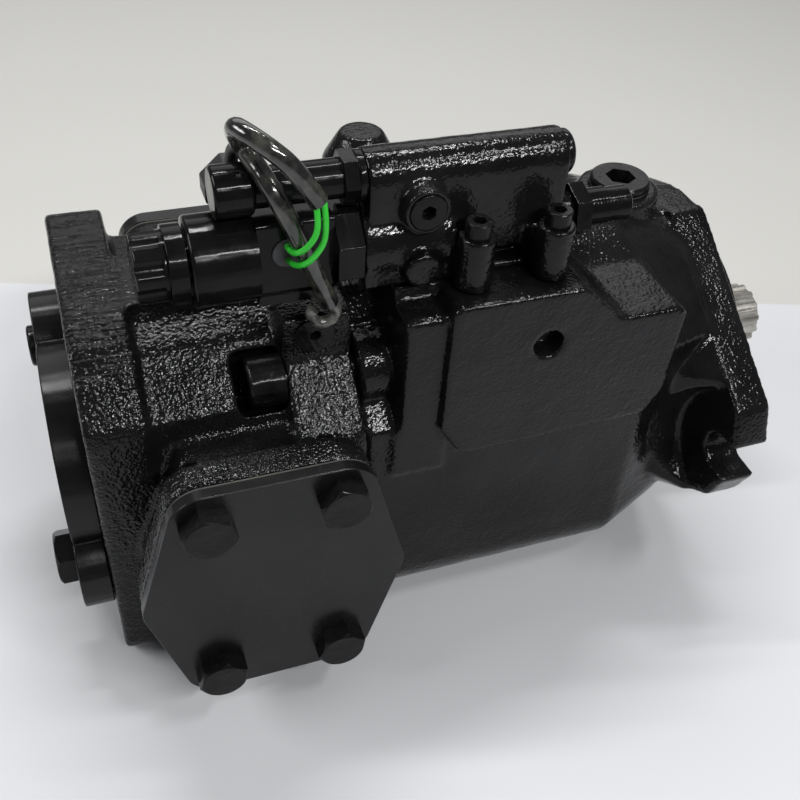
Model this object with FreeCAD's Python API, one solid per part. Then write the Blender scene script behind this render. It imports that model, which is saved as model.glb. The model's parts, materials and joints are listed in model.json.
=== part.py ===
"""Variable displacement axial piston pump, flange mounted, with a pilot-operated control valve.

Frame: origin at the centre of the mounting flange's face, +X out along the drive shaft,
-Y towards the suction port, +Z up towards the control valve. Millimetres.
"""
import FreeCAD
import Part
import math
import os

# ---------------------------------------------------------------- driving dimensions
# mounting flange: two-bolt, 127 mm pilot, open slots
FLANGE_T = 18.0
FLANGE_R = 73.0
EAR_Y = 99.5
BOLT_SPAN = 181.0
SLOT_W = 18.5
PILOT_R = 63.5
PILOT_L = 9.5

# housing
JOINT_X = -180.0
BODY_HALF_Y = 71.0
BODY_TOP_Z = 86.0
BODY_BOTTOM_Z = -80.0
TAPER_X = -50.0
BARREL_R = 61.0

# port plate
REAR_X = -286.0
SLAB_T = 24.0
SLAB_HALF_Y = 63.0
SLAB_TOP_Z = 80.0
SLAB_BOTTOM_Z = -86.0

# port blocks and covers
PORT_X = -224.0
PORT_Z = -9.0
PORT_FACE_Y = 94.0
PORT_SEAL_T = 1.0
PORT_FLANGE_T = 13.0
SUCTION_COVER_T = 5.0
SUCTION_BORE_R = 31.0
SUCTION_BOLT_X = 50.8
SUCTION_BOLT_Z = 88.9
PRESSURE_BORE_R = 16.0
PRESSURE_BOLT_X = 31.8
PRESSURE_BOLT_Z = 66.7
PRESSURE_COVER_T = 8.0

# shaft
SHAFT_END_X = 57.0
SPLINE_TEETH = 14
SPLINE_R = 15.6
SPLINE_ROOT_R = 13.9
SPLINE_L = 42.0
BLOCK_SPLINE_R = 16.5

# rotating group
BLOCK_R = 55.0
BLOCK_FRONT_X = -112.0
BLOCK_REAR_X = -174.3
VALVE_PLATE_T = 5.4
PISTON_COUNT = 9
PISTON_PCR = 39.0
PISTON_R = 10.0
BALL_R = 7.5
BALL_X = -95.0
SLIPPER_R = 12.0
SWASH_FACE_X = -86.0
RUN_CLEAR = 0.03

# cradle of the swashplate
CRADLE_X = -92.0
CRADLE_R = 40.0
CRADLE_SHELL_T = 2.0
CRADLE_Y = 50.0
CRADLE_W = 20.0

# control and bias pistons
CONTROL_Y = 50.0
CONTROL_Z = 60.0
CONTROL_R = 11.0

# control valve
VALVE_Y = -41.0
VALVE_FOOT_Z = 95.0
UPPER_Z = 134.4
LOWER_Z = 108.0
VALVE_X0 = -176.5
VALVE_BULGE_X0 = -178.5
VALVE_X1 = -98.5
SPOOL_R = 4.5

# solenoid, on the lower bore
COIL_R = 16.6
COIL_HALF = 16.5

# fasteners: (thread radius, head radius or half across flats, head height)
M12_HEX = (6.0, 9.2, 7.5)
M10_HEX = (5.0, 8.0, 6.4)
M14_HEX = (7.0, 10.5, 8.0)
M14_CAP = (7.0, 10.5, 14.0)
M6_CAP = (3.0, 5.0, 6.0)

X_AXIS = FreeCAD.Vector(1, 0, 0)
Y_AXIS = FreeCAD.Vector(0, 1, 0)
Z_AXIS = FreeCAD.Vector(0, 0, 1)


os.makedirs("parts", exist_ok=True)


# ---------------------------------------------------------------- shape helpers
def vec(x, y, z):
    return FreeCAD.Vector(x, y, z)


def box(x0, x1, y0, y1, z0, z1):
    return Part.makeBox(x1 - x0, y1 - y0, z1 - z0, vec(x0, y0, z0))


def cyl_x(x0, x1, y, z, r):
    return Part.makeCylinder(r, x1 - x0, vec(x0, y, z), X_AXIS)


def cyl_y(y0, y1, x, z, r):
    return Part.makeCylinder(r, y1 - y0, vec(x, y0, z), Y_AXIS)


def cyl_z(z0, z1, x, y, r):
    return Part.makeCylinder(r, z1 - z0, vec(x, y, z0), Z_AXIS)


def ring_x(x0, x1, y, z, r_out, r_in):
    return cyl_x(x0, x1, y, z, r_out).cut(cyl_x(x0 - 1, x1 + 1, y, z, r_in))


def cone_x(x0, x1, y, z, r0, r1):
    return Part.makeCone(r0, r1, x1 - x0, vec(x0, y, z), X_AXIS)


def prism(points, step):
    """Extrude a closed outline of vectors along a step vector."""
    wire = Part.makePolygon(points + [points[0]])
    return Part.Face(wire).extrude(step)


def prism_x(yz, x0, x1):
    return prism([vec(x0, y, z) for y, z in yz], vec(x1 - x0, 0, 0))


def prism_y(xz, y0, y1):
    return prism([vec(x, y0, z) for x, z in xz], vec(0, y1 - y0, 0))


def polygon(count, half_flats, turn=0.0):
    """Corner points of a regular polygon, given its half width across flats."""
    radius = half_flats / math.cos(math.pi / count)
    corners = []
    for i in range(count):
        angle = turn + 2 * math.pi * i / count
        corners.append((radius * math.cos(angle), radius * math.sin(angle)))
    return corners


def poly_x(count, x0, x1, y, z, half_flats, turn=0.0):
    return prism_x([(y + a, z + b) for a, b in polygon(count, half_flats, turn)], x0, x1)


def poly_y(count, y0, y1, x, z, half_flats, turn=0.0):
    return prism_y([(x + a, z + b) for a, b in polygon(count, half_flats, turn)], y0, y1)


def fuse(shapes):
    return shapes[0].multiFuse(shapes[1:]).removeSplitter()


def cut(shape, tools):
    return shape.cut(Part.makeCompound(tools))


def edges_along(shape, axis, low=None, high=None):
    """Straight edges parallel to an axis, kept if their middle is inside the limits."""
    picked = []
    for edge in shape.Edges:
        if edge.Curve.TypeId != "Part::GeomLine":
            continue
        along = edge.tangentAt(edge.FirstParameter)
        if abs(abs(along.dot(axis)) - 1) > 1e-6:
            continue
        middle = edge.CenterOfMass
        if low and any(middle[i] < low[i] for i in range(3)):
            continue
        if high and any(middle[i] > high[i] for i in range(3)):
            continue
        picked.append(edge)
    return picked


def round_along(shape, axis, radius, low=None, high=None):
    return shape.makeFillet(radius, edges_along(shape, axis, low, high))


def tangent_pair(a, ra, b, rb):
    """Where the outer common tangent to the left of a->b touches two circles."""
    dx, dy = b[0] - a[0], b[1] - a[1]
    length = math.hypot(dx, dy)
    ux, uy = dx / length, dy / length
    s = (ra - rb) / length
    c = math.sqrt(1 - s * s)
    nx, ny = ux * s - uy * c, uy * s + ux * c
    return (a[0] + nx * ra, a[1] + ny * ra), (b[0] + nx * rb, b[1] + ny * rb)


def hull_points(circles):
    """Corners of the belt around circles (x, y, r) listed clockwise."""
    corners = []
    for i in range(len(circles)):
        (ax, ay, ra), (bx, by, rb) = circles[i - 1], circles[i]
        corners += tangent_pair((ax, ay), ra, (bx, by), rb)
    return corners


def rounded_wire(points):
    """Straight runs through the points, joined by tangent arcs."""
    edges = []
    start = points[0]
    for before, corner, after in zip(points, points[1:], points[2:]):
        run_in, run_out = corner - before, after - corner
        trim = 0.45 * min(run_in.Length, run_out.Length)
        back = (run_in * -1).normalize()
        ahead = vec(*run_out).normalize()
        enter, leave = corner + back * trim, corner + ahead * trim
        half_turn = (math.pi - back.getAngle(ahead)) / 2
        radius = trim / math.tan(half_turn)
        bisector = (back + ahead).normalize()
        middle = corner + bisector * (radius / math.cos(half_turn) - radius)
        edges.append(Part.LineSegment(start, enter).toShape())
        edges.append(Part.Arc(enter, middle, leave).toShape())
        start = leave
    edges.append(Part.LineSegment(start, points[-1]).toShape())
    return Part.Wire(edges)


def tube_along(wire, radius):
    """Round solid swept along a wire."""
    first = wire.OrderedEdges[0]
    start = first.valueAt(first.FirstParameter)
    profile = Part.Wire(Part.makeCircle(radius, start, first.tangentAt(first.FirstParameter)))
    return wire.makePipeShell([profile], True, True)


def in_circle(count, radius, turn=0.0):
    for i in range(count):
        angle = turn + 2 * math.pi * i / count
        yield radius * math.cos(angle), radius * math.sin(angle)


def save(shape, name):
    shape.exportStep("parts/" + name + ".step")


def save_group(shapes, name):
    Part.makeCompound(shapes).exportStep("parts/" + name + ".step")


# ---------------------------------------------------------------- fasteners
def hex_bolt_y(side, face_y, x, z, size, shank, turn=0.0):
    """Hex-head bolt driven along Y; side is -1 for a head facing -Y."""
    thread_r, half_flats, head_h = size
    tip = face_y - side * shank
    head = poly_y(6, min(face_y, face_y + side * head_h), max(face_y, face_y + side * head_h),
                  x, z, half_flats, turn)
    crown = Part.makeCone(half_flats * 1.06 + 3.0, half_flats * 0.98, 3.0,
                          vec(x, face_y + side * (head_h - 3.0), z), Y_AXIS * side)
    base = cyl_y(min(face_y, face_y + side * (head_h - 3.0)),
                 max(face_y, face_y + side * (head_h - 3.0)), x, z, half_flats * 1.3)
    head = head.common(fuse([crown, base]))
    return fuse([head, cyl_y(min(tip, face_y), max(tip, face_y), x, z, thread_r)])


def cap_screw(direction, seat, size, shank, socket_depth):
    """Socket head screw: the head stands on seat and points along direction."""
    thread_r, head_r, head_h = size
    head = Part.makeCylinder(head_r, head_h, seat, direction)
    top_edges = [e for e in head.Edges
                 if e.Closed and abs((e.CenterOfMass - seat).dot(direction) - head_h) < 0.01]
    head = head.makeChamfer(0.08 * head_r, top_edges)
    shank_shape = Part.makeCylinder(thread_r, shank, seat, direction * -1)
    socket = socket_tool(direction, seat + direction * head_h, head_r * 0.48, socket_depth)
    return fuse([head, shank_shape]).cut(socket)


def socket_tool(direction, mouth, half_flats, depth):
    """Hexagonal hole that opens at mouth and goes down against direction."""
    side = Z_AXIS if abs(direction.dot(Z_AXIS)) < 0.5 else Y_AXIS
    other = direction.cross(side)
    corners = [mouth + side * a + other * b for a, b in polygon(6, half_flats)]
    return prism(corners, direction * -depth)


# ---------------------------------------------------------------- housing
BOLT_Y = BOLT_SPAN / 2
FLANGE_OUTLINE = [
    (-14.0, 80.0), (-93.0, 27.0), (-EAR_Y, 10.0), (-EAR_Y, -10.0), (-93.0, -25.5), (-14.0, -80.0),
    (14.0, -80.0), (93.0, -25.5), (EAR_Y, -10.0), (EAR_Y, 10.0), (93.0, 27.0), (36.0, 70.0), (12.0, 78.0),
]
EAR_ROOT = [(50.0, 50.0), (66.0, 45.0), (81.0, 35.0), (81.0, -35.0), (66.0, -45.0), (50.0, -50.0)]
EAR_ROOT_END = [(48.0, 44.0), (56.0, 38.0), (61.0, 28.0), (61.0, -28.0), (56.0, -38.0), (48.0, -44.0)]
EAR_ROOT_X = -40.0
EAR_RECESS_Y = 98.0
EAR_RECESS_R = 36.0
SECTION_TOP_Z = 50.0
SECTION_CORNER_R = 26.0
NECK_HALF_Y = 62.0
NECK_SIDE_Z = 48.0
NECK_TOP_Z = 77.0
NECK_BOTTOM_Z = -76.0
NECK_CORNER_R = 38.0
BOSS_X = -40.0
BOSS_TOP_Z = 89.5
BOSS_R = 18.5
DRAIN_THREAD_R = 11.0
JOINT_SCREWS = [(-48.0, 53.0), (48.0, 53.0), (-30.0, -64.0), (30.0, -64.0)]
JOINT_BOSS_R = 15.0
JOINT_BOSS_L = 13.0
FAR_BOSS = (-144.0, 56.0, 86.0, 100.0)
FAR_BOSS_R = (18.0, 10.0)
FAR_BUMP = [(30, 60), (34, 88), (60, 88), (76, 74), (76, 30), (66, 14)]
VALVE_PAD = (-170.0, -99.0, -57.0, -25.0)
LUG_FACE_X = -208.5
LEDGE_Y = 76.0
LEDGE = [
    (-150.0, VALVE_FOOT_Z), (-95.0, VALVE_FOOT_Z), (-76.0, 77.0), (-45.5, 77.0), (-45.5, 33.0),
    (-52.0, 20.0), (-139.5, 18.0), (-150.0, 35.0),
]
LOW_PAD = [(-168.0, 89.0), (-146.0, 89.0), (-146.0, 10.0), (-168.0, 10.0)]
BEARING_R = 36.0
BEARING_X = (-50.0, -24.0)
SEAL_BORE_R = 26.0
BLIND_HOLE = (-107.5, 70.0)
BLIND_HOLE_R = 6.0


def arched_section(x, w, side_z, top_z, z0, corner):
    """Closed wire across the housing: arched top, flat sides, rounded bottom."""
    s = corner * (1 - math.sqrt(0.5))
    right_arc = Part.Arc(vec(x, w, z0 + corner), vec(x, w - s, z0 + s), vec(x, w - corner, z0))
    left_arc = Part.Arc(vec(x, -w + corner, z0), vec(x, -w + s, z0 + s), vec(x, -w, z0 + corner))
    return Part.Wire([
        Part.Arc(vec(x, -w, side_z), vec(x, 0, top_z), vec(x, w, side_z)).toShape(),
        Part.makeLine(vec(x, w, side_z), vec(x, w, z0 + corner)),
        right_arc.toShape(),
        Part.makeLine(vec(x, w - corner, z0), vec(x, -w + corner, z0)),
        left_arc.toShape(),
        Part.makeLine(vec(x, -w, z0 + corner), vec(x, -w, side_z)),
    ])


def body_section(x):
    return arched_section(x, BODY_HALF_Y, SECTION_TOP_Z, BODY_TOP_Z, BODY_BOTTOM_Z, SECTION_CORNER_R)


def neck_section(x):
    return arched_section(x, NECK_HALF_Y, NECK_SIDE_Z, NECK_TOP_Z, NECK_BOTTOM_Z, NECK_CORNER_R)


def ear_root(side):
    """Flared root behind a flange ear, drawn in towards the neck."""
    near = [vec(-FLANGE_T + 0.5, side * y, z) for y, z in EAR_ROOT]
    far = [vec(EAR_ROOT_X, side * y, z) for y, z in EAR_ROOT_END]
    return Part.makeLoft([Part.makePolygon(near + near[:1]), Part.makePolygon(far + far[:1])], True, True)


def flange():
    """Two-bolt flange with its pilot and open bolt slots."""
    plate = prism_x(FLANGE_OUTLINE, -FLANGE_T, 0)
    plate = round_along(plate, X_AXIS, 5.0)
    plate = plate.fuse(cyl_x(-FLANGE_T, 0, 0, 0, FLANGE_R))
    pilot = cyl_x(0, PILOT_L, 0, 0, PILOT_R)
    rim = [e for e in pilot.Edges if e.Closed and e.CenterOfMass.x > PILOT_L - 0.1]
    pilot = pilot.makeChamfer(1.0, rim)
    shape = fuse([plate, pilot])
    slots = []
    for side in (-1, 1):
        slots.append(cyl_x(-FLANGE_T - 1, 1, side * BOLT_Y, 0, SLOT_W / 2))
        low, high = sorted((side * BOLT_Y, side * 120))
        slots.append(box(-FLANGE_T - 1, 1, low, high, -SLOT_W / 2, SLOT_W / 2))
    return cut(shape, slots)


def far_boss():
    """Tapered round boss over the bias piston, on the side away from the suction port."""
    x, y, z0, z1 = FAR_BOSS
    boss = fuse([
        Part.makeCone(FAR_BOSS_R[0], FAR_BOSS_R[1], z1 - z0, vec(x, y, z0), Z_AXIS),
        cyl_z(z0 - 14.0, z0, x, y, FAR_BOSS_R[0]),
    ])
    rim = [e for e in boss.Edges if e.Closed and e.CenterOfMass.z > z1 - 0.1]
    return boss.makeFillet(3.0, rim)


def joint_relief(side):
    """Clearance over the joint beside an upper screw boss."""
    outline = [(20, 100), (26, 74), (80, 26), (90, 26), (90, 100)]
    return prism_x([(side * y, z) for y, z in outline], JOINT_X - 1, JOINT_X + JOINT_BOSS_L)


def housing():
    straight = Part.Face(body_section(JOINT_X)).extrude(vec(TAPER_X - JOINT_X, 0, 0))
    neck = Part.makeLoft([body_section(TAPER_X), neck_section(-FLANGE_T)], True)
    ledge = round_along(prism_y(LEDGE, -LEDGE_Y, -10.0), Y_AXIS, 4.0)
    low_pad = prism_y(LOW_PAD, -BODY_HALF_Y - 1.5, -30.0)
    valve_pad = round_along(box(*VALVE_PAD, 60.0, VALVE_FOOT_Z), Z_AXIS, 5.0)
    far_bump = round_along(prism_x(FAR_BUMP, -152.0, -52.0), X_AXIS, 8.0)
    drain_boss = cyl_z(60, BOSS_TOP_Z, BOSS_X, 0, BOSS_R)
    shape = fuse([straight, neck, flange(), ledge, low_pad, valve_pad, far_bump, far_boss(), drain_boss,
                  ear_root(-1), ear_root(1)])
    shape = cut(shape, [joint_relief(-1), joint_relief(1)])
    bosses = [cyl_x(JOINT_X, JOINT_X + JOINT_BOSS_L + 6, y, z, JOINT_BOSS_R) for y, z in JOINT_SCREWS]
    shape = fuse([shape] + bosses)
    return cut(shape, housing_tools())


def housing_tools():
    """Recesses behind the ears, the inner spaces and every tapped hole."""
    shell_r = CRADLE_R + CRADLE_SHELL_T
    half_cradle = CRADLE_Y + CRADLE_W / 2
    tools = [
        cyl_x(JOINT_X - 1, -64.0, 0, 0, BARREL_R),
        cyl_y(-half_cradle, half_cradle, CRADLE_X, 0, shell_r),
        box(-99.0, -70.0, -61.0, 61.0, 20.0, 72.0),
        cyl_x(BEARING_X[0] - 20, BEARING_X[1], 0, 0, BEARING_R),
        cyl_x(-30.0, PILOT_L + 1, 0, 0, SEAL_BORE_R),
        cyl_z(60.0, 100.0, BOSS_X, 0, DRAIN_THREAD_R),
        cyl_z(30.0, 84.0, BOSS_X, 0, 8.0),
        cyl_y(-80.0, -66.0, BLIND_HOLE[0], BLIND_HOLE[1], BLIND_HOLE_R),
    ]
    for side in (-1, 1):
        tools.append(cyl_x(EAR_ROOT_X, -FLANGE_T, side * EAR_RECESS_Y, 0, EAR_RECESS_R))
        tools.append(cyl_x(-152.0, -90.0, side * CONTROL_Y, CONTROL_Z, CONTROL_R))
    for y, z in JOINT_SCREWS:
        tools.append(cyl_x(JOINT_X - 1, JOINT_X + 22, y, z, M14_CAP[0]))
    for x, y in valve_screw_places():
        tools.append(cyl_z(VALVE_FOOT_Z - 14, VALVE_FOOT_Z + 1, x, y, M6_CAP[0]))
    return tools


# ---------------------------------------------------------------- port plate
SUCTION_SPANS = (SUCTION_BOLT_X, SUCTION_BOLT_Z)
PRESSURE_SPANS = (PRESSURE_BOLT_X, PRESSURE_BOLT_Z)
# outline of a port: half width, corner radius, spans between corner centres
SUCTION = (52.6, 14.5, SUCTION_SPANS)
PRESSURE = (30.0, 14.0, (32.0, 76.0))
THROUGH_R = 22.0
REAR_BEARING_R = 27.0
REAR_BEARING_X = (-206.0, -181.0)
END_COVER_T = 12.6
END_COVER_R = 47.0
END_COVER_CENTRE = (-4.0, -3.5)
END_COVER_ALONG = (0.758, 0.652)
END_EAR_R = 20.0
END_EAR_STEP = 49.7
END_SCREW_STEP = 46.5


def end_cover_place(step):
    """Point of the end cover at a distance from its centre towards the ears."""
    (cy, cz), (ay, az) = END_COVER_CENTRE, END_COVER_ALONG
    return cy + ay * step, cz + az * step


def end_screw_places():
    return [end_cover_place(-END_SCREW_STEP), end_cover_place(END_SCREW_STEP)]


NECK_STEP = (5.0, 9.0)
GASKET_INSET = 0.6


def cover_plate(low, high, radius, spans, corner_r):
    """Port outline: a belt around four corner circles and one circle at each side."""
    hx, hz = spans[0] / 2, spans[1] / 2
    places = [(hx, hz, corner_r), (radius - corner_r, 0, corner_r), (hx, -hz, corner_r),
              (-hx, -hz, corner_r), (-radius + corner_r, 0, corner_r), (-hx, hz, corner_r)]
    circles = [(PORT_X + x, PORT_Z + z, r) for x, z, r in places]
    shapes = [prism_y(hull_points(circles), low, high)]
    shapes += [cyl_y(low, high, x, z, r) for x, z, r in circles]
    return fuse(shapes)


def port_block(side, shape):
    """Port flange with a slimmer neck behind it."""
    radius, corner_r, spans = shape
    low, high = sorted((side * (PORT_FACE_Y - PORT_FLANGE_T), side * PORT_FACE_Y))
    rim = cover_plate(low, high, radius, spans, corner_r)
    low, high = sorted((side * 50.0, side * (PORT_FACE_Y - PORT_FLANGE_T)))
    neck = cover_plate(low, high, radius - NECK_STEP[0], spans, corner_r - NECK_STEP[1])
    return fuse([rim, neck])


def slab_outline():
    """Rear slab: bevelled on the suction side, fuller on the other."""
    return [
        (-27.0, SLAB_TOP_Z), (-49.0, 66.5), (-61.0, 53.0), (-SLAB_HALF_Y, 47.0),
        (-SLAB_HALF_Y, -77.0), (-55.0, SLAB_BOTTOM_Z), (55.0, SLAB_BOTTOM_Z), (SLAB_HALF_Y, -77.0),
        (SLAB_HALF_Y, 62.0), (52.0, SLAB_TOP_Z),
    ]


def core_outline():
    """Core in front of the slab: a raised bridge under the valve, with lower shoulders beside it."""
    return [
        (-22.0, SLAB_TOP_Z), (-25.0, 75.0), (-39.0, 69.3), (-60.0, 50.5), (-60.0, -66.0), (-50.0, -79.0),
        (50.0, -79.0), (62.0, -66.0), (62.0, 50.0), (41.0, 71.5), (17.0, 72.0), (12.0, SLAB_TOP_Z),
    ]


def lug_outline(side):
    """Clamping lug for one joint screw, raised above the bevel of the core."""
    return [(side * y, z) for y, z in (
        (30.0, 82.0), (50.0, 82.0), (50.0, 62.5), (74.0, 38.5), (76.0, 22.0), (40.0, 22.0), (30.0, 50.0))]


def port_plate():
    slab = round_along(prism_x(slab_outline(), REAR_X, REAR_X + SLAB_T), X_AXIS, 8.0)
    core = prism_x(core_outline(), REAR_X + SLAB_T - 2, JOINT_X)
    suction = port_block(-1, SUCTION)
    pressure = port_block(1, PRESSURE)
    # both blocks stay clear of the housing except for their overhanging outer rims
    beside_joint = box(JOINT_X, JOINT_X + 30.0, -73.0, 100.0, -100.0, 100.0)
    lugs = [prism_x(lug_outline(side), LUG_FACE_X, JOINT_X) for side in (-1, 1)]
    shape = fuse([slab, core, suction.cut(beside_joint), pressure.cut(beside_joint)] + lugs)
    seats = [cyl_x(LUG_FACE_X - 19.0, LUG_FACE_X, y, z, M14_CAP[1] + 2.5) for y, z in JOINT_SCREWS[:2]]
    for side in (-1, 1):
        low, high = sorted((side * 14.0, side * 46.0))
        seats.append(box(REAR_X + SLAB_T, LUG_FACE_X, low, high, -90.0, -50.0))
    return cut(shape, seats + port_plate_inner())


def port_plate_inner():
    tools = [
        cyl_x(REAR_X - 1, REAR_BEARING_X[0] + 1, 0, 0, THROUGH_R),
        cyl_x(REAR_BEARING_X[0], JOINT_X + 1, 0, 0, REAR_BEARING_R),
        cyl_y(-PORT_FACE_Y - 1, -30.0, PORT_X, PORT_Z, SUCTION_BORE_R),
        cyl_y(30.0, PORT_FACE_Y + 1, PORT_X, PORT_Z, PRESSURE_BORE_R),
        box(PORT_X, JOINT_X + 1, -50.0, -34.0, -30.0, 14.0),
        box(PORT_X, JOINT_X + 1, 34.0, 50.0, -22.0, 4.0),
    ]
    for side, spans in ((-1, SUCTION_SPANS), (1, PRESSURE_SPANS)):
        low, high = sorted((side * (PORT_FACE_Y - 22), side * (PORT_FACE_Y + 1)))
        for x, z in corner_places(*spans):
            tools.append(cyl_y(low, high, PORT_X + x, PORT_Z + z, bolt_of(side)[0]))
    for y, z in JOINT_SCREWS:
        tools.append(cyl_x(LUG_FACE_X - 1, JOINT_X + 1, y, z, M14_CAP[0]))
    for y, z in end_screw_places():
        tools.append(cyl_x(REAR_X - 1, REAR_X + 18, y, z, M14_HEX[0]))
    tools.append(cyl_y(LUG_FACE_Y - 1, LUG_FACE_Y + 12, LUG_PLUG[0], LUG_PLUG[1], LUG_PLUG_R))
    return tools


def corner_places(span_x, span_z):
    for sx in (-0.5, 0.5):
        for sz in (-0.5, 0.5):
            yield sx * span_x, sz * span_z


def bolt_of(side):
    return M12_HEX if side < 0 else M10_HEX


def port_holes(side, low, high):
    spans = SUCTION_SPANS if side < 0 else PRESSURE_SPANS
    radius = bolt_of(side)[0]
    return [cyl_y(low - 1, high + 1, PORT_X + x, PORT_Z + z, radius) for x, z in corner_places(*spans)]


def port_cover(side, shape, thick):
    """Blanking cover over a port, with one clearance hole per bolt."""
    radius, corner_r, spans = shape
    near = side * (PORT_FACE_Y + PORT_SEAL_T)
    low, high = sorted((near, near + side * thick))
    return cut(cover_plate(low, high, radius, spans, corner_r), port_holes(side, low, high))


def port_seal(side, shape, bore_r):
    """Flat gasket between a port face and its cover."""
    radius, corner_r, spans = shape
    low, high = sorted((side * PORT_FACE_Y, side * (PORT_FACE_Y + PORT_SEAL_T)))
    sheet = cover_plate(low, high, radius - GASKET_INSET, spans, corner_r - GASKET_INSET)
    bore = cyl_y(low - 1, high + 1, PORT_X, PORT_Z, bore_r)
    return cut(sheet, port_holes(side, low, high) + [bore])


def port_bolts(side, thick, spans):
    face = side * (PORT_FACE_Y + PORT_SEAL_T + thick)
    bolts = []
    for i, (x, z) in enumerate(corner_places(*spans)):
        turn = 0.3 + 0.5 * i
        bolts.append(hex_bolt_y(side, face, PORT_X + x, PORT_Z + z, bolt_of(side), 24.0, turn))
    return bolts


# ---------------------------------------------------------------- end cover and lug plug
LUG_PLUG = (-195.5, 73.5)
LUG_PLUG_R = 5.0
LUG_PLUG_COLLAR_R = 8.0
LUG_FACE_Y = -50.0


def end_cover():
    """Eared plate over the rear opening, with a short spigot in the bore."""
    x0 = REAR_X - END_COVER_T
    plates = [cyl_x(x0, REAR_X, *END_COVER_CENTRE, END_COVER_R)]
    for step in (-END_EAR_STEP, END_EAR_STEP):
        plates.append(cyl_x(x0, REAR_X, *end_cover_place(step), END_EAR_R))
    plate = fuse(plates + [cyl_x(REAR_X, REAR_X + 6.0, 0, 0, THROUGH_R - RUN_CLEAR)])
    return cut(plate, [cyl_x(x0 - 1, REAR_X + 1, y, z, M14_HEX[0]) for y, z in end_screw_places()])


def end_bolt():
    thread_r, half_flats, head_h = M14_HEX
    x0 = REAR_X - END_COVER_T
    y, z = end_screw_places()[0]
    head = poly_x(6, x0 - head_h, x0, y, z, half_flats, 0.4)
    crown = cone_x(x0 - head_h, x0 - head_h + 3.0, y, z, half_flats * 0.98, half_flats * 1.06 + 3.0)
    base = cyl_x(x0 - head_h + 3.0, x0, y, z, half_flats * 1.3)
    return fuse([head.common(fuse([crown, base])), cyl_x(x0, REAR_X + 16, y, z, thread_r)])


def end_screw():
    """Low-headed socket screw in the far ear of the end cover."""
    x0 = REAR_X - END_COVER_T
    y, z = end_screw_places()[1]
    return cap_screw(X_AXIS * -1, vec(x0, y, z), (M14_HEX[0], 9.0, 3.5), 30.0, 3.0)


# ---------------------------------------------------------------- control valve
def valve_screw_places():
    return [(x, VALVE_Y + side * 21.0) for side in (-1, 1) for x in (-138.0, -106.0)]


SCREW_SEAT_Z = 117.0
PORT_PLUG = (-156.5, 126.5)
PORT_PLUG_R = 5.5
PORT_PLUG_HEAD_R = 7.0


def valve_body():
    y = VALVE_Y
    x0 = VALVE_BULGE_X0
    upper = cyl_x(VALVE_X0, VALVE_X1, y, UPPER_Z - 1.0, 11.0)
    web = box(VALVE_X0, VALVE_X1, y - 11.0, y + 11.0, LOWER_Z - 6.0, UPPER_Z - 1.0)
    bulge = cyl_x(x0, -143.0, y, LOWER_Z, 16.0)
    bulge_foot = box(x0, -143.0, y - 15.0, y + 15.0, VALVE_FOOT_Z, LOWER_Z - 3.0)
    tail = cyl_x(-128.0, VALVE_X1 - 2.0, y, LOWER_Z, 10.5)
    foot = box(-168.0, VALVE_X1 - 2.0, y - 14.0, y + 14.0, VALVE_FOOT_Z, VALVE_FOOT_Z + 3.0)
    plug_boss = cyl_y(y - 18.0, y, PORT_PLUG[0], PORT_PLUG[1], 9.0)
    blind_boss = cyl_y(y - 21.0, y, -157.5, 103.5, 7.2)
    parts = [upper, web, bulge, bulge_foot, tail, foot, plug_boss, blind_boss]
    for x, sy in valve_screw_places():
        low, high = sorted((sy, y))
        parts.append(cyl_z(VALVE_FOOT_Z, SCREW_SEAT_Z, x, sy, 7.5))
        parts.append(box(x - 7.5, x + 7.5, low, high, VALVE_FOOT_Z, SCREW_SEAT_Z - 6.0))
    return cut(fuse(parts), valve_bores())


def valve_bores():
    y = VALVE_Y
    x0 = VALVE_BULGE_X0
    bores = [
        box(-200.0, -80.0, -100.0, 20.0, VALVE_FOOT_Z - 20.0, VALVE_FOOT_Z),
        cyl_x(VALVE_X0 - 1, -110.0, y, UPPER_Z, SPOOL_R + RUN_CLEAR),
        cyl_x(VALVE_X0 - 1, -150.0, y, UPPER_Z, 6.5),
        cyl_x(-112.0, VALVE_X1 + 1, y, UPPER_Z, 6.0),
        cyl_x(x0 - 1, VALVE_X1 + 1, y, LOWER_Z, SPOOL_R + RUN_CLEAR),
        cyl_x(-126.0, VALVE_X1 + 1, y, LOWER_Z, 6.5),
        cyl_x(x0 - 1, x0 + 10, y, LOWER_Z, 8.0),
        cyl_y(y - 16.5, y - 8.0, PORT_PLUG[0], PORT_PLUG[1], PORT_PLUG_R),
        cyl_y(y - 19.0, y - 16.5, PORT_PLUG[0], PORT_PLUG[1], PORT_PLUG_HEAD_R + 0.2),
    ]
    for x, sy in valve_screw_places():
        bores.append(cyl_z(VALVE_FOOT_Z - 1, SCREW_SEAT_Z + 1, x, sy, M6_CAP[0]))
    return bores


# ---------------------------------------------------------------- plugs and screws
DRAIN_COLLAR_R = 13.5


def drain_plug():
    top = BOSS_TOP_Z + 1.0
    collar = cyl_z(top, top + 3.5, BOSS_X, 0, DRAIN_COLLAR_R)
    rim = [e for e in collar.Edges if e.Closed and e.CenterOfMass.z > top + 3.4]
    collar = collar.makeChamfer(1.0, rim)
    thread = cyl_z(BOSS_TOP_Z - 14, top, BOSS_X, 0, DRAIN_THREAD_R)
    return fuse([collar, thread]).cut(socket_tool(Z_AXIS, vec(BOSS_X, 0, top + 3.5), 6.0, 9.0))


def drain_seal():
    return cyl_z(BOSS_TOP_Z, BOSS_TOP_Z + 1.0, BOSS_X, 0, DRAIN_COLLAR_R - 0.4).cut(
        cyl_z(BOSS_TOP_Z - 1, BOSS_TOP_Z + 2, BOSS_X, 0, DRAIN_THREAD_R))


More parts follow.
